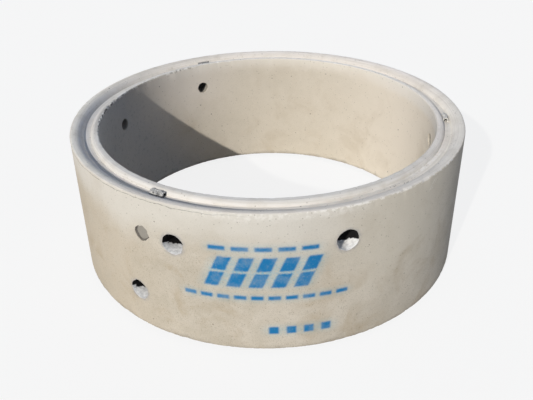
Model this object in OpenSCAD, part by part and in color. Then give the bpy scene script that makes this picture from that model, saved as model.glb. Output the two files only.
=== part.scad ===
// Precast concrete chamber ring, standing on its tongue end.
// Origin at the middle of the ring on the ground, +Z up, millimetres.

/* [Ring] */
// clear bore through the ring
bore_d = 1200; // [900:5:1500]
// thickness of the wall
wall_t = 95; // [90:1:130]
// height from the tip of the tongue to the top of the lip
ring_h = 500; // [450:5:1000]
// rounding of the edges left by the mould
arris_r = 4; // [2:0.5:5]

/* [Groove end] */
// distance from the outer face to where the lip starts to fall
lip_w = 7; // [6:0.5:10]
// radius of the rounded shoulder from the lip down into the groove
shoulder_r = 43; // [38:0.5:46]
// depth of the groove's floor below the lip
groove_depth = 22; // [17:0.5:26]
// width of the rib between the groove and the bore, along its top
rib_w = 25; // [20:0.5:27]
// height of the rib's top below the lip
rib_drop = 6; // [3:0.5:8]
// taper of the rib's face over the groove's depth
rib_draft = 3; // [1.5:0.25:4]
// rounding of the rib from its top into its face in the groove
rib_r = 13; // [6:0.5:14]

/* [Tongue end] */
// height of the tongue below the outer shoulder
tongue_h = 14; // [10:0.5:18]
// sealant gap between the tongue and the groove of the ring below
joint_gap = 3; // [2:0.25:4]
// height of the underside over the rib of the ring below
inner_gap = 9; // [7:0.25:10]

/* [Lifting holes] */
// diameter of the three blind lifting holes, bored from the inside
lift_d = 47; // [40:1:56]
// depth of a lifting hole from the bore
lift_depth = 66; // [50:1:72]
// plan angle of the lifting hole at the front left
lift_1_angle = 237.6; // [236:0.1:239]
// height of that hole above the ground
lift_1_z = 373; // [340:1:400]
// plan angle of the lifting hole at the right
lift_2_angle = 358.6; // [355:0.1:361]
// height of that hole above the ground
lift_2_z = 378; // [340:1:400]
// plan angle of the lifting hole at the back
lift_3_angle = 118.8; // [116:0.1:121]
// height of that hole above the ground
lift_3_z = 388; // [340:1:400]
// diameter of the shallow recess on the outer face behind a lifting hole
recess_d = 54; // [45:1:60]
// depth of that recess
recess_depth = 8; // [5:0.5:12]

/* [Groove nibs] */
// length of the rough tube-like nibs cast into the groove's floor
nib_l = 48; // [36:1:56]
// thickness of a nib
nib_d = 20; // [14:0.5:20]
// how far a nib is sunk into the groove's floor, and half as far into the rib's foot
nib_sink = 4; // [2:0.5:6]
// diameter of the hollow in each end of a nib
nib_hole_d = 9; // [6:0.5:9]
// depth of that hollow
nib_hole_depth = 12; // [6:0.5:15]
// plan angle of the nib at the front left
nib_1_angle = 239.8; // [236:0.1:243]
// plan angle of the nib at the right
nib_2_angle = 355.2; // [352:0.1:359]
// plan angle of the nib at the back
nib_3_angle = 116.5; // [113:0.1:120]

/* [Pin holes] */
// diameter of the three front holes, straight through the wall
pin_d = 67; // [58:1:74]
// diameter of the far side hole, straight through the wall
pin_e_d = 46; // [40:1:54]
// plan angle of the upper left hole
pin_a_angle = 246.4; // [245.5:0.1:249]
// height of the upper left hole above the ground
pin_a_z = 366; // [300:1:400]
// plan angle of the lower left hole
pin_b_angle = 234.2; // [231:0.1:237]
// height of the lower left hole above the ground
pin_b_z = 147; // [80:1:250]
// plan angle of the upper right hole
pin_c_angle = 288.3; // [285:0.1:291]
// height of the upper right hole above the ground
pin_c_z = 386; // [300:1:400]
// plan angle of the far side hole
pin_e_angle = 162.3; // [159:0.1:165]
// height of the far side hole above the ground
pin_e_z = 370; // [300:1:400]

/* [Hidden] */
$fn = 96;
concrete_color = [0.80, 0.76, 0.69];
// overshoot of a cut past the face it opens
over = 1;
bore_r = bore_d / 2;
outer_r = bore_r + wall_t;
// shoulder: quarter round that falls from the lip to the groove's floor
shoulder_c_r = outer_r - lip_w;
shoulder_c_z = ring_h - shoulder_r;
floor_z = ring_h - groove_depth;
// rib: its top edge, and its face widening by the draft down to the floor
rib_z = ring_h - rib_drop;
rib_edge_r = bore_r + rib_w;
rib_foot_r = rib_edge_r + rib_draft;
rib_slope = atan2(rib_z - floor_z, rib_draft);
rib_face = norm([rib_draft, rib_z - floor_z]);
// length that the rib's rounding takes off its top and its face, at most the whole face
rib_run = min(rib_r * tan(rib_slope / 2), rib_face);
rib_round = rib_run / tan(rib_slope / 2);
// tongue: keeps the sealant gap to the shoulder and to the rib of the ring below
seat_z = tongue_h - joint_gap;
under_r = shoulder_r + joint_gap;
under_c_z = seat_z - shoulder_r;
edge_z = under_c_z + sqrt(pow(under_r, 2) - pow(lip_w, 2));
inner_z = seat_z - rib_drop + inner_gap;
tip_inner_r = rib_foot_r + joint_gap;
tongue_inner_r = rib_edge_r + joint_gap;
lifts = [
    [lift_1_angle, lift_1_z],
    [lift_2_angle, lift_2_z],
    [lift_3_angle, lift_3_z],
];
nib_angles = [nib_1_angle, nib_2_angle, nib_3_angle];
nib_c_r = rib_foot_r + (nib_d - nib_sink) / 2;
nib_c_z = floor_z + nib_d / 2 - nib_sink;
pins = [
    [pin_a_angle, pin_a_z, pin_d],
    [pin_b_angle, pin_b_z, pin_d],
    [pin_c_angle, pin_c_z, pin_d],
    [pin_e_angle, pin_e_z, pin_e_d],
];

// material to take off a square corner so that its edge is round
module arris_cut() {
    difference() {
        translate([-arris_r, -arris_r])
            square(arris_r + over);
        translate([-arris_r, -arris_r])
            circle(arris_r);
    }
}

// the same for the rib's broad rounding, at an edge that is blunter than square
module rib_edge_cut() {
    foot_r = rib_edge_r + rib_run * cos(rib_slope);
    difference() {
        polygon([
            [rib_edge_r - rib_run, rib_z + over],
            [rib_edge_r - rib_run, rib_z - rib_round],
            [foot_r, rib_z - rib_run * sin(rib_slope)],
            [foot_r, rib_z + over],
        ]);
        translate([rib_edge_r - rib_run, rib_z - rib_round])
            circle(rib_round);
    }
}

// rounded shoulder standing on the groove's floor
module shoulder() {
    intersection() {
        translate([shoulder_c_r, shoulder_c_z])
            circle(shoulder_r);
        translate([shoulder_c_r - shoulder_r, floor_z - over])
            square([shoulder_r + over, groove_depth + over]);
    }
}

// wall with the rib and groove on top and the tongue below, its edges still sharp
module wall_section() {
    difference() {
        polygon([
            [bore_r, rib_z],
            [bore_r, inner_z],
            [tongue_inner_r, inner_z],
            [tip_inner_r, 0],
            [outer_r, 0],
            [outer_r, ring_h],
            [shoulder_c_r, ring_h],
            [shoulder_c_r, floor_z],
            [rib_foot_r, floor_z],
            [rib_edge_r, rib_z],
        ]);
        translate([shoulder_c_r, under_c_z])
            circle(under_r);
    }
}

module ring_section() {
    difference() {
        union() {
            wall_section();
            shoulder();
        }
        rib_edge_cut();
        translate([outer_r, ring_h])
            arris_cut();
        translate([bore_r, rib_z])
            mirror([1, 0])
                arris_cut();
        translate([bore_r, inner_z])
            mirror([0, 1])
                mirror([1, 0])
                    arris_cut();
        polygon([
            [outer_r - arris_r - over, edge_z - over],
            [outer_r + over, edge_z - over],
            [outer_r + over, edge_z + arris_r + over],
        ]);
    }
}

// blind hole from the bore, with the shallow recess on the outer face behind it
module lifting_hole(height) {
    translate([0, 0, height])
        rotate([0, 90, 0]) {
            cylinder(r = lift_d / 2, h = bore_r + lift_depth);
            translate([0, 0, outer_r - recess_depth])
                cylinder(r = recess_d / 2, h = recess_depth + over);
        }
}

// short tube-like nib along the groove, bedded up to its sides and hollow at both ends
module groove_nib() {
    translate([nib_c_r, nib_l / 2, nib_c_z])
        rotate([90, 0, 0])
            difference() {
                union() {
                    cylinder(r = nib_d / 2, h = nib_l);
                    translate([-nib_d / 2, -nib_d / 2, 0])
                        cube([nib_d, nib_d / 2, nib_l]);
                }
                translate([0, 0, -over])
                    cylinder(r = nib_hole_d / 2, h = nib_hole_depth + over);
                translate([0, 0, nib_l - nib_hole_depth])
                    cylinder(r = nib_hole_d / 2, h = nib_hole_depth + over);
            }
}

// straight hole through the wall
module pin_hole(height, hole_d) {
    translate([0, 0, height])
        rotate([0, 90, 0])
            cylinder(r = hole_d / 2, h = outer_r + over);
}

module chamber_ring() {
    color(concrete_color) {
        difference() {
            rotate_extrude($fn = 360)
                ring_section();
            for (p = lifts)
                rotate([0, 0, p[0]])
                    lifting_hole(p[1]);
            for (p = pins)
                rotate([0, 0, p[0]])
                    pin_hole(p[1], p[2]);
        }
        for (a = nib_angles)
            rotate([0, 0, a])
                groove_nib();
    }
}

chamber_ring();
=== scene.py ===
import math

import bmesh
import bpy
from mathutils import Matrix, Vector, noise


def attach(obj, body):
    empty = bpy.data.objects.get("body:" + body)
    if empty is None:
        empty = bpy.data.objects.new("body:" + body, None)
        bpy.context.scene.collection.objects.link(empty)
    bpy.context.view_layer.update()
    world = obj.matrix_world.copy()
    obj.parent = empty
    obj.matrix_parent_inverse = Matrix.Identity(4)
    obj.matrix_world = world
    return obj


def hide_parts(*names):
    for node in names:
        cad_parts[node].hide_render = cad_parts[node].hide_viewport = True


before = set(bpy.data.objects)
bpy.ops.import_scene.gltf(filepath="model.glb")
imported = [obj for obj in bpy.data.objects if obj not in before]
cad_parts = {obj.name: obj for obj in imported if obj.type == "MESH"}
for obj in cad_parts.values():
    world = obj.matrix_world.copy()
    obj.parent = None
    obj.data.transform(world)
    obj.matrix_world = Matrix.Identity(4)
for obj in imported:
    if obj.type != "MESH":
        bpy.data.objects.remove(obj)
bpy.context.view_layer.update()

# Ring sizes in metres, the same as in the solid.
BORE_R = 0.600
WALL_T = 0.095
RING_H = 0.500
ARRIS_R = 0.004
LIP_W = 0.007
SHOULDER_R = 0.043
GROOVE_DEPTH = 0.022
RIB_W = 0.025
RIB_DROP = 0.006
RIB_DRAFT = 0.003
RIB_R = 0.013
TONGUE_H = 0.014
JOINT_GAP = 0.003
INNER_GAP = 0.009

# Lifting holes as (plan angle in degrees, height).
LIFT_D = 0.047
LIFT_DEPTH = 0.066
LIFTS = ((237.6, 0.373), (358.6, 0.378), (118.8, 0.388))
RECESS_D = 0.054
RECESS_DEPTH = 0.008

# Rough nibs in the groove, hollow at both ends, and their plan angles in degrees.
NIB_L = 0.048
NIB_D = 0.020
NIB_SINK = 0.004
NIB_HOLE_D = 0.009
NIB_HOLE_DEPTH = 0.012
NIB_ANGLES = (239.8, 355.2, 116.5)

# Pin holes as (plan angle in degrees, height, diameter).
PIN_D = 0.067
FRONT_PINS = ((246.4, 0.366, PIN_D), (234.2, 0.147, PIN_D), (288.3, 0.386, PIN_D))
SIDE_PIN = (162.3, 0.370, 0.046)

# Places that follow from those sizes.
OUTER_R = BORE_R + WALL_T
CROWN_R = OUTER_R - LIP_W
FLOOR_Z = RING_H - GROOVE_DEPTH
RIB_Z = RING_H - RIB_DROP
RIB_EDGE_R = BORE_R + RIB_W
RIB_FOOT_R = RIB_EDGE_R + RIB_DRAFT
RIB_SLOPE = math.atan2(RIB_Z - FLOOR_Z, RIB_DRAFT)
RIB_RUN = RIB_R * math.tan(RIB_SLOPE / 2)
SEAT_Z = TONGUE_H - JOINT_GAP
UNDER_R = SHOULDER_R + JOINT_GAP
UNDER_C_Z = SEAT_Z - SHOULDER_R
EDGE_Z = UNDER_C_Z + math.sqrt(UNDER_R**2 - LIP_W**2)
INNER_Z = SEAT_Z - RIB_DROP + INNER_GAP
TIP_INNER_R = RIB_FOOT_R + JOINT_GAP
TONGUE_INNER_R = RIB_EDGE_R + JOINT_GAP
NIB_R = RIB_FOOT_R + (NIB_D - NIB_SINK) / 2
NIB_Z = FLOOR_Z + NIB_D / 2 - NIB_SINK

# Mesh: steps around the ring, overshoot of the cuts, and the sharpest edge shaded smooth.
STEPS = 960
CUT_START_R = BORE_R - 0.030
CUT_END_R = OUTER_R + 0.012
SMOOTH_LIMIT = math.radians(38)

# Uneven casting and crumbled edges: noise cells per metre, and depths in metres.
SWELL_CELLS, SWELL_DEPTH = 6, 0.0005
CHIP_REACH = 0.003
# Each size of chip: cells, shift of the noise, level where chips start, depth.
CHIPS = ((34, 7, 0.12, 0.007), (110, 3, 0.02, 0.0042))
# Noise around and along a rough turned solid.
ROUGH_AROUND, ROUGH_ALONG = 2.3, 0.4

# Looks: soft sides of the sprayed marks and of their mist, slopes of the dust and painted light in
# the pin holes and of the painted shade on the inner wall, and half the side of the floor.
SPRAY_SOFT = 0.0045
MIST_SOFT = 0.022
DUST_AND_LIGHT_SLOPE = 0.65
PAINTED_SHADE_SLOPE = 1.2
FLOOR_HALF = 14.0


# Ring section, walked up the bore, over the rim, down the outside and back under the tongue.
def arc(cr, cz, r, a0, a1, n):
    """Points on an arc of the section, angles in degrees."""
    out = []
    for i in range(n + 1):
        a = math.radians(a0 + (a1 - a0) * i / n)
        out.append((cr + r * math.cos(a), cz + r * math.sin(a)))
    return out


def line(p, q, n):
    """Points from p to q, without either end."""
    return [
        (p[0] + (q[0] - p[0]) * i / n, p[1] + (q[1] - p[1]) * i / n)
        for i in range(1, n)
    ]


def wall(p, q, n):
    """The same with one more point close to each end, so that chips stay at the edges."""
    near = CHIP_REACH / math.dist(p, q)
    shares = [near] + [i / n for i in range(1, n)] + [1 - near]
    return [(p[0] + (q[0] - p[0]) * t, p[1] + (q[1] - p[1]) * t) for t in shares]


def section():
    """Closed ring section as (radius, height, chip weight) points."""
    rise = SHOULDER_R - GROOVE_DEPTH
    crease_angle = 180 - math.degrees(math.asin(rise / SHOULDER_R))
    under_a0 = math.degrees(math.acos((OUTER_R - ARRIS_R - CROWN_R) / UNDER_R))
    under_a1 = 180 - math.degrees(math.asin(-UNDER_C_Z / UNDER_R))
    low_in = arc(BORE_R + ARRIS_R, INNER_Z + ARRIS_R, ARRIS_R, 270, 180, 3)
    rib_in = arc(BORE_R + ARRIS_R, RIB_Z - ARRIS_R, ARRIS_R, 180, 90, 4)
    rib_face = 90 - math.degrees(RIB_SLOPE)
    rib_out = arc(RIB_EDGE_R - RIB_RUN, RIB_Z - RIB_R, RIB_R, 90, rib_face, 9)
    foot = (RIB_FOOT_R, FLOOR_Z)
    shoulder = arc(CROWN_R, RING_H - SHOULDER_R, SHOULDER_R, crease_angle, 90, 12)
    top_out = arc(OUTER_R - ARRIS_R, RING_H - ARRIS_R, ARRIS_R, 90, 0, 4)
    low_out = (OUTER_R, EDGE_Z + ARRIS_R)
    under = arc(CROWN_R, UNDER_C_Z, UNDER_R, under_a0, under_a1, 6)
    tip_in = (TIP_INNER_R, 0.0)
    tongue_in = (TONGUE_INNER_R, INNER_Z)
    weighted = (
        (low_in, 0.8),
        (wall(low_in[-1], rib_in[0], 10), 0.0),
        (rib_in, 1.0),
        (line(rib_in[-1], rib_out[0], 4), 0.25),
        (rib_out, 0.1),
        (line(rib_out[-1], foot, 3), 0.1),
        ([foot], 0.1),
        (line(foot, shoulder[0], 5), 0.1),
        (shoulder, 0.1),
        (top_out, 0.6),
        (wall(top_out[-1], low_out, 12), 0.0),
        ([low_out], 1.0),
        (under, 0.7),
        (line(under[-1], tip_in, 4), 0.3),
        ([tip_in], 0.4),
        (line(tip_in, tongue_in, 3), 0.2),
        ([tongue_in], 0.2),
        (line(tongue_in, low_in[0], 4), 0.3),
    )
    return [(r, z, weight) for points, weight in weighted for r, z in points]


def window(angle, centre, width):
    """Smooth bump of a plan angle around a centre, both in degrees."""
    d = (angle - centre + 180) % 360 - 180
    return math.exp(-((d / width) ** 2))


def chip_strength(r, z, angle):
    """How much an edge has crumbled at a place of the ring."""
    if z > RING_H / 2 and r < RIB_EDGE_R:
        return 0.30 + 1.3 * window(angle, 180, 20) + 0.9 * window(angle, 112, 14)
    if z > RING_H / 2:
        return 0.25 + 0.20 * window(angle, 222, 35) + 0.8 * window(angle, 306, 26)
    return 0.45


def chip_depth(place, r, angle, weight):
    """Depth of concrete missing at an edge point."""
    if weight <= 0:
        return 0.0
    crumble = 0.0
    for cells, shift, start, depth in CHIPS:
        crumble += max(0.0, noise.noise(place * cells + Vector((0, 0, shift))) - start) * depth
    return weight * chip_strength(r, place.z, angle) * crumble


def ring_mesh(name):
    """Closed mesh of the turned ring with its crumbled edges."""
    pts = section()
    n = len(pts)
    normals = []
    for i in range(n):
        (r0, z0, _), (r1, z1, _) = pts[i - 1], pts[(i + 1) % n]
        along = Vector((r1 - r0, z1 - z0)).normalized()
        normals.append((-along.y, along.x))
    verts = []
    for k in range(STEPS):
        turn = 2 * math.pi * k / STEPS
        ca, sa = math.cos(turn), math.sin(turn)
        angle = math.degrees(turn)
        for (r, z, weight), (nr, nz) in zip(pts, normals):
            place = Vector((r * ca, r * sa, z))
            swell = SWELL_DEPTH * (0.5 + 0.5 * noise.noise(place * SWELL_CELLS))
            d = swell + chip_depth(place, r, angle, weight)
            verts.append(((r - nr * d) * ca, (r - nr * d) * sa, z - nz * d))
    faces = []
    for k in range(STEPS):
        a, b = k * n, ((k + 1) % STEPS) * n
        for i in range(n):
            j = (i + 1) % n
            faces.append((a + i, b + i, b + j, a + j))
    mesh = bpy.data.meshes.new(name)
    mesh.from_pydata(verts, [], faces)
    bm = bmesh.new()
    bm.from_mesh(mesh)
    bmesh.ops.recalc_face_normals(bm, faces=bm.faces)
    bm.to_mesh(mesh)
    bm.free()
    return mesh


def turned(name, stations, place, rough, seed, segments=64, bed=1.0):
    """Closed rough solid about local X through (distance, radius) stations, fuller below by bed."""
    bm = bmesh.new()
    rings = []
    for s, (d, r) in enumerate(stations):
        ring = []
        for k in range(segments):
            a = 2 * math.pi * k / segments
            ca, sa = math.cos(a), math.sin(a)
            spot = Vector((ca * ROUGH_AROUND, sa * ROUGH_AROUND, seed + s * ROUGH_ALONG))
            wide = r + rough[s] * noise.noise(spot)
            fuller = bed if sa < 0 else 1.0
            aside = max(-1.0, min(1.0, ca * fuller))
            ring.append(bm.verts.new(place @ Vector((d, wide * aside, wide * sa * fuller))))
        rings.append(ring)
    for lower, upper in zip(rings, rings[1:]):
        for k in range(segments):
            j = (k + 1) % segments
            bm.faces.new((lower[k], lower[j], upper[j], upper[k]))
    bm.faces.new(rings[0])
    bm.faces.new(rings[-1])
    bmesh.ops.recalc_face_normals(bm, faces=bm.faces)
    mesh = bpy.data.meshes.new(name)
    bm.to_mesh(mesh)
    bm.free()
    return bpy.data.objects.new(name, mesh)


def radial(angle, height):
    """Place whose X runs out along a plan angle at a height."""
    return Matrix.Rotation(math.radians(angle), 4, "Z") @ Matrix.Translation((0, 0, height))


def pin_cut(angle, height, hole_d):
    """Straight hole through the wall with slightly worn mouths."""
    half = hole_d / 2
    stations = (
        (CUT_START_R, half + 0.002),
        (BORE_R + 0.005, half),
        (OUTER_R - 0.030, half),
        (OUTER_R - 0.004, half),
        (CUT_END_R, half + 0.004),
    )
    rough = (0.0015, 0.0012, 0.0012, 0.0018, 0.0030)
    return turned("pin_cut", stations, radial(angle, height), rough, angle)


def lift_cut(angle, height):
    """Blind lifting hole from the bore."""
    half = LIFT_D / 2
    stations = (
        (CUT_START_R, half + 0.001),
        (BORE_R + 0.012, half),
        (BORE_R + LIFT_DEPTH, half - 0.001),
    )
    rough = (0.0016, 0.0010, 0.0008)
    return turned("lift_cut", stations, radial(angle, height), rough, angle)


def recess_cut(angle, height):
    """Shallow ragged recess on the outer face behind a lifting hole."""
    half = RECESS_D / 2
    stations = (
        (OUTER_R - RECESS_DEPTH, half - 0.004),
        (OUTER_R - RECESS_DEPTH / 2, half - 0.002),
        (CUT_END_R, half + 0.001),
    )
    rough = (0.004, 0.005, 0.006)
    return turned("recess_cut", stations, radial(angle, height), rough, angle + 5)


def nib(angle):
    """Rough tube-like nib lying along the groove, hollow at both ends."""
    end = NIB_L / 2
    deep = end - NIB_HOLE_DEPTH
    bore = NIB_HOLE_D / 2
    body = NIB_D / 2 - 0.001
    lengths = 12
    outside = [(-end + NIB_L * i / lengths, body) for i in range(lengths + 1)]
    hollow = [(deep, bore * 0.4), (deep, bore), (end, bore)]
    stations = [(-d, r) for d, r in hollow] + outside + hollow[::-1]
    even = [0.0003] * len(hollow)
    lumpy = [0.0045] * len(outside)
    along = radial(angle, NIB_Z) @ Matrix.Translation((NIB_R, 0, 0))
    along = along @ Matrix.Rotation(math.radians(90), 4, "Z")
    return turned("nib", stations, along, even + lumpy + even, angle, segments=40, bed=1.6)


def boolean(target, tool, operation):
    """Apply one boolean to the target's mesh and delete the tool."""
    bpy.context.scene.collection.objects.link(tool)
    mod = target.modifiers.new("cut", "BOOLEAN")
    mod.operation = operation
    mod.solver = "EXACT"
    mod.material_mode = "TRANSFER"
    mod.object = tool
    graph = bpy.context.evaluated_depsgraph_get()
    mesh = bpy.data.meshes.new_from_object(target.evaluated_get(graph))
    target.modifiers.clear()
    old = target.data
    mesh.name = old.name
    target.data = mesh
    bpy.data.meshes.remove(old)
    bpy.data.objects.remove(tool)


def joined(name, tools, material):
    """One object from separate closed tools that do not touch."""
    bm = bmesh.new()
    for tool in tools:
        mesh = tool.data
        bm.from_mesh(mesh)
        bpy.data.objects.remove(tool)
        bpy.data.meshes.remove(mesh)
    mesh = bpy.data.meshes.new(name)
    bm.to_mesh(mesh)
    bm.free()
    mesh.materials.append(material)
    return bpy.data.objects.new(name, mesh)


def clean(obj):
    """Drop hollows that the joins closed off and points that carry no corner."""
    bm = bmesh.new()
    bm.from_mesh(obj.data)
    bmesh.ops.dissolve_verts(bm, verts=[v for v in bm.verts if len(v.link_edges) == 2])
    islands = []
    seen = set()
    for first in bm.faces:
        if first in seen:
            continue
        seen.add(first)
        island = [first]
        for face in island:
            for edge in face.edges:
                fresh = [f for f in edge.link_faces if f not in seen]
                seen.update(fresh)
                island.extend(fresh)
        islands.append(island)
    islands.sort(key=len)
    for island in islands[:-1]:
        bmesh.ops.delete(bm, geom=island, context="FACES")
    bm.to_mesh(obj.data)
    bm.free()


def shade(obj):
    """Smooth shading that breaks at sharp edges."""
    bm = bmesh.new()
    bm.from_mesh(obj.data)
    for f in bm.faces:
        f.smooth = True
    for e in bm.edges:
        e.smooth = len(e.link_faces) == 2 and e.calc_face_angle(0) < SMOOTH_LIMIT
    bm.to_mesh(obj.data)
    bm.free()


def make_ring(concrete, dusty_shaded, mortar):
    """The whole cast ring as one closed mesh."""
    ring = bpy.data.objects.new("chamber_ring_cast", ring_mesh("chamber_ring_cast"))
    ring.data.materials.append(concrete)
    bpy.context.scene.collection.objects.link(ring)
    sunlit = [pin_cut(*pin) for pin in FRONT_PINS]
    plain = [pin_cut(*SIDE_PIN)]
    for lift in LIFTS:
        plain.append(lift_cut(*lift))
        plain.append(recess_cut(*lift))
    boolean(ring, joined("plain_cuts", plain, concrete), "DIFFERENCE")
    # The three front pin holes get walls with painted shade and painted light.
    boolean(ring, joined("dusty_shaded_cuts", sunlit, dusty_shaded), "DIFFERENCE")
    boolean(ring, joined("nibs", [nib(a) for a in NIB_ANGLES], mortar), "UNION")
    clean(ring)
    shade(ring)
    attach(ring, "root")
    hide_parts("chamber_ring")


# Node helpers for the procedural materials.
def srgb(r, g, b):
    """Linear colour from 0 to 255 screen values."""
    out = []
    for c in (r, g, b):
        c /= 255
        out.append(c / 12.92 if c <= 0.04045 else ((c + 0.055) / 1.055) ** 2.4)
    return (*out, 1.0)


class Graph:
    """Short names for building one material's nodes."""

    def __init__(self, tree):
        tree.nodes.clear()
        self.tree = tree

    def node(self, kind, inputs=(), **props):
        n = self.tree.nodes.new(kind)
        for key, value in props.items():
            setattr(n, key, value)
        for key, value in dict(inputs).items():
            self.put(n, key, value)
        return n

    def put(self, n, key, value):
        if isinstance(value, bpy.types.NodeSocket):
            self.tree.links.new(value, n.inputs[key])
        else:
            n.inputs[key].default_value = value

    def place(self):
        """Place on the object, whole and as X, Y and Z."""
        place = self.node("ShaderNodeTexCoord").outputs["Object"]
        return place, *self.node("ShaderNodeSeparateXYZ", {0: place}).outputs

    def math(self, op, a, b=0.0, c=0.0):
        return self.node("ShaderNodeMath", {0: a, 1: b, 2: c}, operation=op).outputs[0]

    def product(self, first, *rest):
        for value in rest:
            first = self.math("MULTIPLY", first, value)
        return first

    def hypot(self, a, b):
        """Length of the diagonal over two sides."""
        return self.math("SQRT", self.math("MULTIPLY_ADD", a, a, self.math("MULTIPLY", b, b)))

    def step(self, value, low, high, to_low=0.0, to_high=1.0):
        """Smooth ramp of a value between two levels."""
        n = self.node(
            "ShaderNodeMapRange",
            {0: value, 1: low, 2: high, 3: to_low, 4: to_high},
            interpolation_type="SMOOTHSTEP",
        )
        return n.outputs[0]

    def band(self, value, centre, half, soft):
        """One inside a band of a value, nought outside it, with soft sides."""
        off = self.math("ABSOLUTE", self.math("SUBTRACT", value, centre))
        return self.step(off, half - soft, half + soft, 1.0, 0.0)

    def noise(self, vector, scale, detail=3.0, rough=0.55, distortion=0.0):
        n = self.node(
            "ShaderNodeTexNoise",
            {"Vector": vector, "Scale": scale, "Detail": detail, "Roughness": rough,
             "Distortion": distortion},
        )
        return n.outputs["Fac"]

    def cells(self, vector, scale):
        """Distance to the middle of a random cell, and a random number of that cell."""
        n = self.node("ShaderNodeTexVoronoi", {"Vector": vector, "Scale": scale}, feature="F1")
        chance = self.node("ShaderNodeSeparateColor", {0: n.outputs["Color"]}).outputs[0]
        return n.outputs["Distance"], chance

    def stretch(self, vector, scale):
        return self.node("ShaderNodeMapping", {"Vector": vector, "Scale": scale}).outputs[0]

    def mix(self, fac, a, b):
        n = self.node("ShaderNodeMix", data_type="RGBA", blend_type="MIX")
        self.put(n, 0, fac)
        self.put(n, 6, a)
        self.put(n, 7, b)
        return n.outputs[2]

    def tint(self, colour, mask, rgb, share=1.0):
        """Colour moved towards a screen colour by a share of a mask."""
        return self.mix(self.math("MULTIPLY", mask, share), colour, srgb(*rgb))

    def matte(self, colour, height, strength, distance, roughness, specular):
        """Rough shader with a bump."""
        bump = self.node(
            "ShaderNodeBump", {"Height": height, "Strength": strength, "Distance": distance},
        )
        return self.node(
            "ShaderNodeBsdfPrincipled",
            {"Base Color": colour, "Roughness": roughness, "Specular IOR Level": specular,
             "Normal": bump.outputs[0]},
        )

    def finish(self, shader, output="ShaderNodeOutputMaterial"):
        self.tree.links.new(shader.outputs[0], self.node(output).inputs[0])


def new_graph(name):
    """Empty material and its graph."""
    mat = bpy.data.materials.new(name)
    mat.use_nodes = True
    return mat, Graph(mat.node_tree)


class Surface:
    """Places and noises on the ring that the layers of the concrete share."""

    def __init__(self, g):
        self.g = g
        self.place, self.x, self.y, self.z = g.place()
        self.radius = g.hypot(self.x, self.y)
        self.angle = g.math("ARCTAN2", self.y, self.x)
        self.from_left = g.math(
            "ARCTAN2", g.math("MULTIPLY", self.y, -1.0), g.math("MULTIPLY", self.x, -1.0),
        )
        self.blotch = g.noise(self.place, 3.0, 4.0, 0.6, 0.4)
        self.mottle = g.noise(self.place, 19.0, 4.0, 0.6, 0.2)
        self.crumbs = g.noise(self.place, 70.0, 4.0, 0.65)
        self.speck = g.noise(self.place, 330.0, 2.0, 0.6)
        self.cloudy_z = g.math("ADD", self.z, g.math("MULTIPLY", self.blotch, 0.20))
        self.ragged_z = g.math("ADD", self.z, g.math("MULTIPLY", self.mottle, 0.026))
        self.outside = g.step(self.radius, OUTER_R - 0.004, OUTER_R - 0.002)
        self.inside = g.step(self.radius, BORE_R + 0.003, BORE_R + 0.001)
        self.rim = g.product(
            g.step(self.z, FLOOR_Z - 0.010, FLOOR_Z),
            g.step(self.radius, OUTER_R - 0.0005, OUTER_R - 0.004),
            g.step(self.radius, BORE_R + 0.001, BORE_R + 0.004),
            g.step(self.mottle, 0.25, 0.60, 0.66, 1.0),
        )

    def around(self, centre, half, soft, turn=None):
        """Band of plan angles in degrees, counted from the right unless turn is given."""
        turn = self.angle if turn is None else turn
        return self.g.band(turn, math.radians(centre), math.radians(half), math.radians(soft))

    def around_left(self, centre, half, soft):
        """The same, counted from the left."""
        return self.around(centre, half, soft, self.from_left)


# Layers of the cast concrete, in the order in which they lie on each other.
def base_layer(g, s):
    """Mottled and speckled concrete, paler in the bore, with painted light on the bore's right
    side.
    """
    streak = g.noise(g.stretch(s.place, (26.0, 26.0, 2.6)), 1.0, 3.0, 0.55)
    colour = g.mix(g.step(s.blotch, 0.34, 0.66), srgb(179, 170, 154), srgb(193, 184, 169))
    colour = g.tint(colour, g.step(s.mottle, 0.35, 0.70, 0.0, 0.36), (206, 198, 185))
    colour = g.tint(colour, g.step(streak, 0.52, 0.78, 0.0, 0.10), (163, 154, 140))
    colour = g.tint(colour, g.step(s.speck, 0.30, 0.48, 0.55, 0.0), (138, 128, 113))
    colour = g.tint(colour, s.inside, (204, 195, 180), 0.50)
    # Painted light: the bore's right side made paler.
    painted_light_right = g.product(s.inside, s.around(12, 34, 26))
    return g.tint(colour, painted_light_right, (227, 217, 202), 0.78)


def outer_wall_layer(g, s, colour):
    """Pale bloom under the lip, bleached and tanned areas, and brown stains on both walls."""
    bloom = g.product(s.outside, g.step(s.cloudy_z, 0.40, 0.58), s.around(-103, 34, 22))
    colour = g.tint(colour, bloom, (206, 202, 193), 0.72)
    faded = g.product(s.outside, g.step(s.cloudy_z, 0.48, 0.60), s.around_left(22, 26, 16))
    colour = g.tint(colour, faded, (208, 203, 194), 0.65)
    bleached = g.product(
        s.outside, s.around(-53, 16, 13), g.step(s.cloudy_z, 0.20, 0.42, 0.2, 1.0),
    )
    colour = g.tint(colour, bleached, (208, 200, 184), 0.68)
    tanned = g.product(
        s.outside, s.around_left(33, 24, 14), g.step(s.mottle, 0.30, 0.62, 0.35, 0.75),
        g.step(s.cloudy_z, 0.57, 0.46),
    )
    colour = g.tint(colour, tanned, (174, 159, 135), 0.60)
    stain = g.product(
        g.step(g.noise(s.place, 8.0, 5.0, 0.62, 0.6), 0.48, 0.72),
        g.step(s.z, 0.44, 0.20, 0.4, 1.0),
        g.math("MAXIMUM", s.outside, g.math("MULTIPLY", s.inside, 0.6)),
    )
    return g.tint(colour, stain, (164, 147, 121), 0.45)


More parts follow.
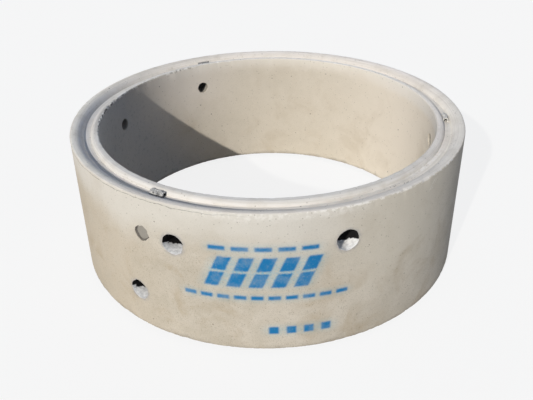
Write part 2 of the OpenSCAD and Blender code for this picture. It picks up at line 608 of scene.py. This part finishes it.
def inner_wall_layer(g, s, colour):
    """Painted light at the back, painted shade that rises at the left with darker specks in it, and
    pale films under the rim.
    """
    # Painted light: paler upper wall at the back of the bore.
    painted_light_back = g.product(s.inside, s.around(130, 18, 14), g.step(s.z, 0.16, 0.42))
    colour = g.tint(colour, painted_light_back, (224, 216, 206), 0.60)
    # Painted shade: a cooler, darker band on the left of the bore whose edge rises with height.
    risen = g.math(
        "MULTIPLY_ADD", s.z, -PAINTED_SHADE_SLOPE, g.math("ADD", s.from_left, PAINTED_SHADE_SLOPE * RING_H),
    )
    painted_shade = g.product(
        s.inside, g.step(risen, math.radians(-36), math.radians(-10)),
        g.step(s.from_left, math.radians(63), math.radians(35)),
    )
    colour = g.tint(colour, painted_shade, (159, 164, 170), 0.60)
    # Darker specks inside the painted shade.
    specks_in_painted_shade = g.product(painted_shade, g.step(s.crumbs, 0.54, 0.70, 0.0, 0.45))
    colour = g.tint(colour, specks_in_painted_shade, (122, 124, 126))
    scum = g.product(
        s.inside, g.step(s.ragged_z, RIB_Z - 0.050, RIB_Z + 0.012), s.around(55, 85, 15),
    )
    colour = g.tint(colour, scum, (224, 218, 208), 0.60)
    film = g.product(
        s.inside, g.step(s.ragged_z, RIB_Z - 0.052, RIB_Z - 0.022), s.around(8, 30, 14),
    )
    return g.tint(colour, film, (226, 221, 213), 0.45)


def rim_layer(g, s, colour):
    """Pale rib, groove and shoulder, partly laitance and partly painted light, with more painted
    light at the right and back, painted shade towards the groove at the left and back, trowel
    lines, and the worn and white places on them.
    """
    # Pale rib: partly laitance, partly painted light on the upward face.
    rib = g.mix(
        g.step(s.radius, BORE_R + 0.008, RIB_EDGE_R), srgb(230, 226, 219), srgb(221, 217, 211),
    )
    # Painted light on the rib at the right and at the back.
    rib = g.tint(rib, s.around(-8, 36, 20), (238, 231, 222))
    rib = g.tint(rib, s.around(66, 42, 18), (247, 243, 236))
    by_lip = g.step(s.radius, CROWN_R - 0.026, CROWN_R - 0.010)
    # Painted light: the shoulder paler at the right.
    shoulder = g.mix(s.around(-12, 34, 22), srgb(230, 223, 213), srgb(236, 230, 220))
    # Painted shade and highlight at the back: darker towards the groove, lighter by the lip.
    back = g.mix(by_lip, srgb(219, 212, 203), srgb(240, 233, 225))
    shoulder = g.mix(s.around(60, 44, 18), shoulder, back)
    # Painted shade at the left: darker grey towards the groove.
    left = g.mix(by_lip, srgb(209, 207, 205), srgb(238, 233, 223))
    shoulder = g.mix(s.around_left(12, 34, 20), shoulder, left)
    pale = g.mix(g.step(s.radius, RIB_FOOT_R, RIB_FOOT_R + 0.012), rib, shoulder)
    colour = g.mix(s.rim, colour, pale)
    track = g.node(
        "ShaderNodeCombineXYZ", {0: g.math("MULTIPLY", s.radius, 420.0), 1: s.x, 2: s.y},
    )
    lines = g.noise(g.stretch(track.outputs[0], (1.0, 4.0, 4.0)), 1.0, 3.0, 0.6)
    trowel = g.product(s.rim, g.step(lines, 0.46, 0.64, 0.0, 0.32))
    colour = g.tint(colour, trowel, (178, 171, 160))
    worn = g.product(
        s.rim, s.around_left(2, 12, 6), g.step(s.radius, BORE_R + 0.017, BORE_R + 0.006),
    )
    colour = g.tint(colour, worn, (146, 142, 137), 0.5)
    white = g.product(
        s.rim, s.around(-37, 9, 4), g.band(s.radius, 0.632, 0.006, 0.003),
        g.step(s.crumbs, 0.42, 0.54),
    )
    return g.tint(colour, white, (246, 243, 238), 0.8)


def edge_layer(g, s, colour):
    """Darker towards the bottom edge, mould line, frayed lip, chalk under the lip, and crumbs on
    the bore's edge.
    """
    foot = g.math("SUBTRACT", s.z, g.math("MULTIPLY", s.mottle, 0.040))
    colour = g.tint(colour, g.step(foot, -0.012, 0.012, 0.6, 0.0), (122, 113, 100))
    seam_z = g.math("ADD", s.z, g.math("MULTIPLY_ADD", s.mottle, 0.016, -0.008))
    lined = g.product(
        s.outside, g.band(seam_z, RING_H - 0.009, 0.0008, 0.0010), s.around(-132, 33, 8),
        g.step(s.crumbs, 0.36, 0.58, 0.40, 1.0),
    )
    colour = g.tint(colour, lined, (104, 98, 92))
    frayed = g.product(
        g.band(s.z, RING_H - 0.002, 0.0042, 0.0026), g.step(s.radius, CROWN_R, OUTER_R - 0.003),
        s.around(-54, 26, 10), g.step(s.crumbs, 0.46, 0.56, 0.0, 0.85),
    )
    colour = g.tint(colour, frayed, (230, 225, 217))
    chalk = g.product(
        s.outside, g.step(s.ragged_z, RING_H - 0.022, RING_H + 0.006), s.around(-88, 18, 10),
        g.step(s.crumbs, 0.44, 0.64, 0.1, 0.42),
    )
    colour = g.tint(colour, chalk, (240, 237, 231))
    edge = g.product(
        g.step(s.radius, BORE_R + 0.007, BORE_R + 0.004),
        g.band(s.z, RIB_Z - 0.003, 0.005, 0.003),
    )
    breaks = g.math(
        "MAXIMUM", s.around_left(2, 14, 6), g.math("MULTIPLY", s.around(128, 6, 4), 0.5),
    )
    broken = g.product(edge, breaks, g.step(s.crumbs, 0.50, 0.58, 0.0, 0.85))
    colour = g.tint(colour, broken, (70, 67, 65))
    chalky = g.product(edge, s.around_left(-20, 34, 10), g.step(s.crumbs, 0.50, 0.42, 0.0, 0.90))
    return g.tint(colour, chalky, (240, 237, 231))


def pore_layer(g, s, colour):
    """Air holes, dark grains and a pitted place on the rim. The air holes are returned too."""
    distance, chance = g.cells(s.place, 46.0)
    size = g.product(
        g.step(chance, 0.68, 1.0, 0.0, 0.14), g.step(s.mottle, 0.36, 0.62, 0.35, 1.1),
    )
    pore = g.math("LESS_THAN", distance, size)
    colour = g.tint(colour, pore, (104, 97, 87), 0.60)
    distance, chance = g.cells(s.place, 125.0)
    size = g.step(chance, 0.66, 1.0, 0.0, 0.29)
    fleck = g.step(g.math("SUBTRACT", size, distance), 0.0, 0.08)
    colour = g.tint(colour, fleck, (118, 109, 96), 0.46)
    pit = g.product(
        s.rim, s.around(-54, 6, 3), g.band(s.radius, 0.641, 0.007, 0.003),
        g.step(g.noise(s.place, 150.0, 1.0), 0.60, 0.66),
    )
    return g.tint(colour, pit, (96, 88, 80), 0.75), pore


def mark_layer(g, s, colour):
    """A scratch, painted shade inside holes and recesses and darker painted shade on the recesses'
    sides, and smudges around the pin holes.
    """
    slant = g.math("SUBTRACT", s.angle, g.math("MULTIPLY", s.z, 1.15))
    cuts = g.math(
        "MAXIMUM", g.band(slant, -1.336, 0.0018, 0.0014), g.band(slant, -1.318, 0.0010, 0.0012),
    )
    scratch = g.product(
        s.outside, g.band(s.z, 0.468, 0.016, 0.006), g.step(s.crumbs, 0.44, 0.56, 0.2, 1.0), cuts,
    )
    colour = g.tint(colour, scratch, (236, 232, 225), 0.8)
    # Painted shade: darker colour on the hole walls and recess floors inside the wall.
    through = g.product(
        g.step(s.radius, BORE_R + 0.003, BORE_R + 0.008),
        g.step(s.radius, OUTER_R - 0.003, OUTER_R - 0.006),
        g.band(s.z, 0.27, 0.18, 0.01),
    )
    colour = g.tint(colour, through, (132, 128, 121), 0.85)
    # Painted shade: dark colour on the side walls of the recesses.
    brim = g.product(
        g.band(s.radius, OUTER_R - 0.0042, 0.0028, 0.0010), g.band(s.z, 0.38, 0.06, 0.01),
    )
    colour = g.tint(colour, brim, (84, 80, 76), 0.75)
    for turn, height, hole_d in FRONT_PINS:
        off_angle = g.math("SUBTRACT", s.angle, math.radians(turn - 360))
        off = g.hypot(g.math("MULTIPLY", off_angle, OUTER_R), g.math("SUBTRACT", s.z, height))
        smudge = g.product(
            s.outside, g.step(off, hole_d / 2 + 0.014, hole_d / 2),
            g.step(s.crumbs, 0.36, 0.62, 0.15, 0.65),
        )
        colour = g.tint(colour, smudge, (146, 145, 146))
    return colour


def bars(g, across, up, start, end, low, high, pitch, share):
    """Row of sprayed bars along the wall between two heights, and the mist around it."""
    phase = g.math("FRACT", g.math("DIVIDE", g.math("SUBTRACT", across, start), pitch))
    middle, half = (start + end) / 2, (end - start) / 2
    centre, rise = (low + high) / 2, (high - low) / 2
    marks = g.product(
        g.band(phase, 0.5, share / 2, SPRAY_SOFT / pitch),
        g.band(across, middle, half, SPRAY_SOFT), g.band(up, centre, rise, SPRAY_SOFT),
    )
    mist = g.product(
        g.step(g.band(phase, 0.5, share / 2, 0.25), 0.0, 1.0, 0.6, 1.0),
        g.band(across, middle, half, MIST_SOFT), g.band(up, centre, rise, MIST_SOFT),
    )
    return marks, mist


def sprayed_marks(g, s):
    """Plain stencilled bars, dashes and squares on the front of the outer wall, and their mist."""
    wobble = g.math("SUBTRACT", g.noise(s.place, 75.0, 2.0), 0.5)
    fuzz = g.math("SUBTRACT", g.noise(s.place, 290.0, 2.0), 0.5)
    shift = g.math("ADD", g.math("MULTIPLY", wobble, 0.005), g.math("MULTIPLY", fuzz, 0.005))
    straight = g.math("MULTIPLY", g.math("ADD", s.angle, math.pi / 2), OUTER_R)
    up = g.math("ADD", s.z, shift)
    lean = g.math("SUBTRACT", g.math("ADD", straight, shift), g.math("MULTIPLY", up, 0.42))
    big, mist = bars(
        g, lean, up, start=-0.312, end=0.013, low=0.250, high=0.354, pitch=0.065, share=0.64,
    )
    bridge = g.band(up, 0.303, 0.004, SPRAY_SOFT)
    marks = g.math("MULTIPLY", big, g.math("SUBTRACT", 1.0, bridge))
    level = g.math("ADD", s.z, g.math("MULTIPLY", wobble, 0.002))
    rows = (
        dict(start=-0.185, end=0.145, low=0.376, high=0.390, pitch=0.066, share=0.74),
        dict(start=-0.265, end=0.235, low=0.205, high=0.219, pitch=0.050, share=0.72),
        dict(start=-0.020, end=0.190, low=0.076, high=0.103, pitch=0.0525, share=0.56),
    )
    for row in rows:
        dashes, cloud = bars(g, straight, level, **row)
        marks = g.math("MAXIMUM", marks, dashes)
        mist = g.math("MAXIMUM", mist, cloud)
    return marks, mist


def paint_layer(g, s, colour):
    """Thin blue spray paint over the grain of the wall."""
    marks, mist = sprayed_marks(g, s)
    grit = g.noise(s.place, 160.0, 3.0, 0.7)
    coat = g.step(g.noise(s.place, 20.0, 3.0), 0.30, 0.60, 0.74, 0.98)
    mist = g.product(mist, g.step(grit, 0.32, 0.66, 0.16, 0.60), s.outside)
    colour = g.tint(colour, mist, (84, 166, 190))
    paint = g.product(marks, coat, g.step(grit, 0.26, 0.44, 0.86, 1.0), s.outside)
    return g.tint(colour, paint, (8, 107, 160))


def concrete_material():
    """Cast concrete: mottling, speckle, air holes, stains, sprayed marks, and painted light and
    shade.
    """
    mat, g = new_graph("cast_concrete")
    s = Surface(g)
    colour = base_layer(g, s)
    for layer in (outer_wall_layer, inner_wall_layer, rim_layer, edge_layer):
        colour = layer(g, s, colour)
    colour, pore = pore_layer(g, s, colour)
    colour = mark_layer(g, s, colour)
    colour = paint_layer(g, s, colour)
    relief = g.math(
        "ADD", g.math("MULTIPLY", s.speck, 0.0006), g.math("MULTIPLY", s.mottle, 0.0012),
    )
    relief = g.math("SUBTRACT", relief, g.math("MULTIPLY", pore, 0.0018))
    g.finish(g.matte(colour, relief, strength=0.6, distance=1.0, roughness=0.9, specular=0.25))
    return mat


def shaded_dusty_hole_material():
    """Wall of a pin hole: painted shade deep inside and where it faces sideways or down, and pale
    dust with painted light on its lower wall near the mouth, thinning inwards.
    """
    mat, g = new_graph("dusty_hole_painted_shade")
    place, x, y, _ = g.place()
    facing = g.node("ShaderNodeNewGeometry").outputs["Normal"]
    rise = g.node("ShaderNodeSeparateXYZ", {0: facing}).outputs[2]
    ragged = g.noise(place, 95.0, 4.0, 0.6)
    level = g.math("ADD", rise, g.math("MULTIPLY_ADD", ragged, 0.36, -0.18))
    deep = g.math("SUBTRACT", OUTER_R, g.hypot(x, y))
    level = g.math("MULTIPLY_ADD", deep, -DUST_AND_LIGHT_SLOPE / (PIN_D / 2), level)
    # Pale where the wall faces up near the mouth, partly dust and partly painted light; painted
    # shade everywhere else.
    dust_and_light = g.step(level, -0.02, 0.10)
    pale = g.mix(g.step(ragged, 0.35, 0.65), srgb(218, 217, 215), srgb(246, 245, 243))
    colour = g.mix(dust_and_light, srgb(26, 25, 25), pale)
    g.finish(g.matte(colour, ragged, strength=0.5, distance=0.004, roughness=0.95, specular=0.15))
    return mat


def mortar_material():
    """Crumbly grey mortar of the nibs: painted light on the nib at the right, darker behind,
    painted shade in its hollows.
    """
    mat, g = new_graph("grey_mortar")
    place, x, y, z = g.place()
    grain = g.noise(place, 240.0, 4.0, 0.65)
    colour = g.mix(g.step(grain, 0.32, 0.66), srgb(132, 133, 134), srgb(212, 210, 205))
    # Painted light: the nib at the right made paler.
    clear = g.step(x, 0.5, BORE_R)
    colour = g.tint(colour, clear, (222, 218, 210), 0.6)
    dents = g.product(
        g.step(g.noise(place, 120.0, 2.0, 0.5), 0.52, 0.62, 0.0, 0.75),
        g.math("MULTIPLY_ADD", clear, -0.85, 1.0),
    )
    colour = g.tint(colour, dents, (82, 81, 80))
    darker_behind = g.product(g.step(y, 0.3, 0.5), g.step(grain, 0.58, 0.44))
    colour = g.tint(colour, darker_behind, (48, 47, 46), 0.8)
    # Painted shade in the nib's hollow ends.
    off = g.hypot(g.math("SUBTRACT", g.hypot(x, y), NIB_R), g.math("SUBTRACT", z, NIB_Z))
    hollow = g.step(off, NIB_HOLE_D * 0.74, NIB_HOLE_D * 0.58)
    colour = g.tint(colour, hollow, (46, 45, 44))
    g.finish(g.matte(colour, grain, strength=0.8, distance=0.003, roughness=0.95, specular=0.2))
    return mat


# Floor, light and camera.
def background_rays(g):
    """One for the rays that show the background: seen, mirrored or through glass."""
    path = g.node("ShaderNodeLightPath").outputs
    seen = g.math("MAXIMUM", path["Is Camera Ray"], path["Is Glossy Ray"])
    return g.math("MAXIMUM", seen, path["Is Transmission Ray"])


def floor_material():
    """Pale floor that reads white and keeps a soft shadow."""
    mat, g = new_graph("pale_floor")
    glow_share = g.math("MULTIPLY", background_rays(g), 0.85)
    paper = g.node("ShaderNodeBsdfDiffuse", {"Color": (0.62, 0.62, 0.61, 1)})
    glow = g.node("ShaderNodeEmission", {"Color": (1, 1, 1, 1), "Strength": 1.0})
    g.finish(g.node(
        "ShaderNodeMixShader", {0: glow_share, 1: paper.outputs[0], 2: glow.outputs[0]},
    ))
    return mat


def make_floor():
    """Level floor under the ring."""
    s = FLOOR_HALF
    mesh = bpy.data.meshes.new("floor")
    mesh.from_pydata([(-s, -s, 0), (s, -s, 0), (s, s, 0), (-s, s, 0)], [], [(0, 1, 2, 3)])
    mesh.materials.append(floor_material())
    floor = bpy.data.objects.new("floor", mesh)
    bpy.context.scene.collection.objects.link(floor)


def make_world():
    """White surroundings for the camera and an even, slightly cool fill."""
    world = bpy.data.worlds.new("studio")
    bpy.context.scene.world = world
    world.use_nodes = True
    g = Graph(world.node_tree)
    fill = g.node("ShaderNodeBackground", {"Color": (0.52, 0.68, 1.0, 1), "Strength": 0.28})
    white = g.node("ShaderNodeBackground", {"Color": (1, 1, 1, 1), "Strength": 0.93})
    both = g.node(
        "ShaderNodeMixShader",
        {0: background_rays(g), 1: fill.outputs[0], 2: white.outputs[0]},
    )
    g.finish(both, "ShaderNodeOutputWorld")


def make_light(name, azimuth, elevation, energy, spread, colour):
    """Far light from a direction, softer with a wider spread, all angles in degrees."""
    light = bpy.data.lights.new(name, "SUN")
    light.energy = energy
    light.angle = math.radians(spread)
    light.color = colour
    obj = bpy.data.objects.new(name, light)
    turn, lift = math.radians(azimuth), math.radians(elevation)
    to_light = Vector((
        math.cos(turn) * math.cos(lift), math.sin(turn) * math.cos(lift), math.sin(lift),
    ))
    obj.rotation_euler = to_light.to_track_quat("Z", "Y").to_euler()
    bpy.context.scene.collection.objects.link(obj)


def make_camera():
    """Camera at the photograph's viewing angle, in metres, radians and pixels of its frame."""
    distance, height = 2.0807, 1.3952
    yaw, pitch, roll = 0.0178, 0.4925, -0.0081
    focal_px, middle_x, middle_y = 619.24, 278.76, 163.64
    frame_w, frame_h = 533.0, 400.0
    up = Vector((0, 0, 1))
    ahead = Vector((math.sin(yaw), math.cos(yaw), 0))
    side = Vector((math.cos(yaw), -math.sin(yaw), 0))
    look = ahead * math.cos(pitch) - up * math.sin(pitch)
    rise = up * math.cos(pitch) + ahead * math.sin(pitch)
    right = side * math.cos(roll) + rise * math.sin(roll)
    top = rise * math.cos(roll) - side * math.sin(roll)
    cam = bpy.data.cameras.new("camera")
    cam.sensor_fit = "HORIZONTAL"
    cam.sensor_width = 36.0
    cam.lens = focal_px / frame_w * cam.sensor_width
    cam.shift_x = (frame_w / 2 - middle_x) / frame_w
    cam.shift_y = (middle_y - frame_h / 2) / frame_w
    obj = bpy.data.objects.new("camera", cam)
    axes = Matrix((right, top, -look)).transposed()
    obj.matrix_world = Matrix.Translation((0, -distance, height)) @ axes.to_4x4()
    bpy.context.scene.collection.objects.link(obj)
    bpy.context.scene.camera = obj


make_ring(concrete_material(), shaded_dusty_hole_material(), mortar_material())
make_floor()
make_world()
make_light(
    "key", azimuth=242.3, elevation=27.45, energy=3.45, spread=0.9, colour=(1.0, 0.963, 0.90),
)
make_light(
    "back", azimuth=88.0, elevation=14.0, energy=0.7, spread=50.0, colour=(0.90, 0.94, 1.0),
)
make_camera()
bpy.context.scene.view_settings.view_transform = "Standard"
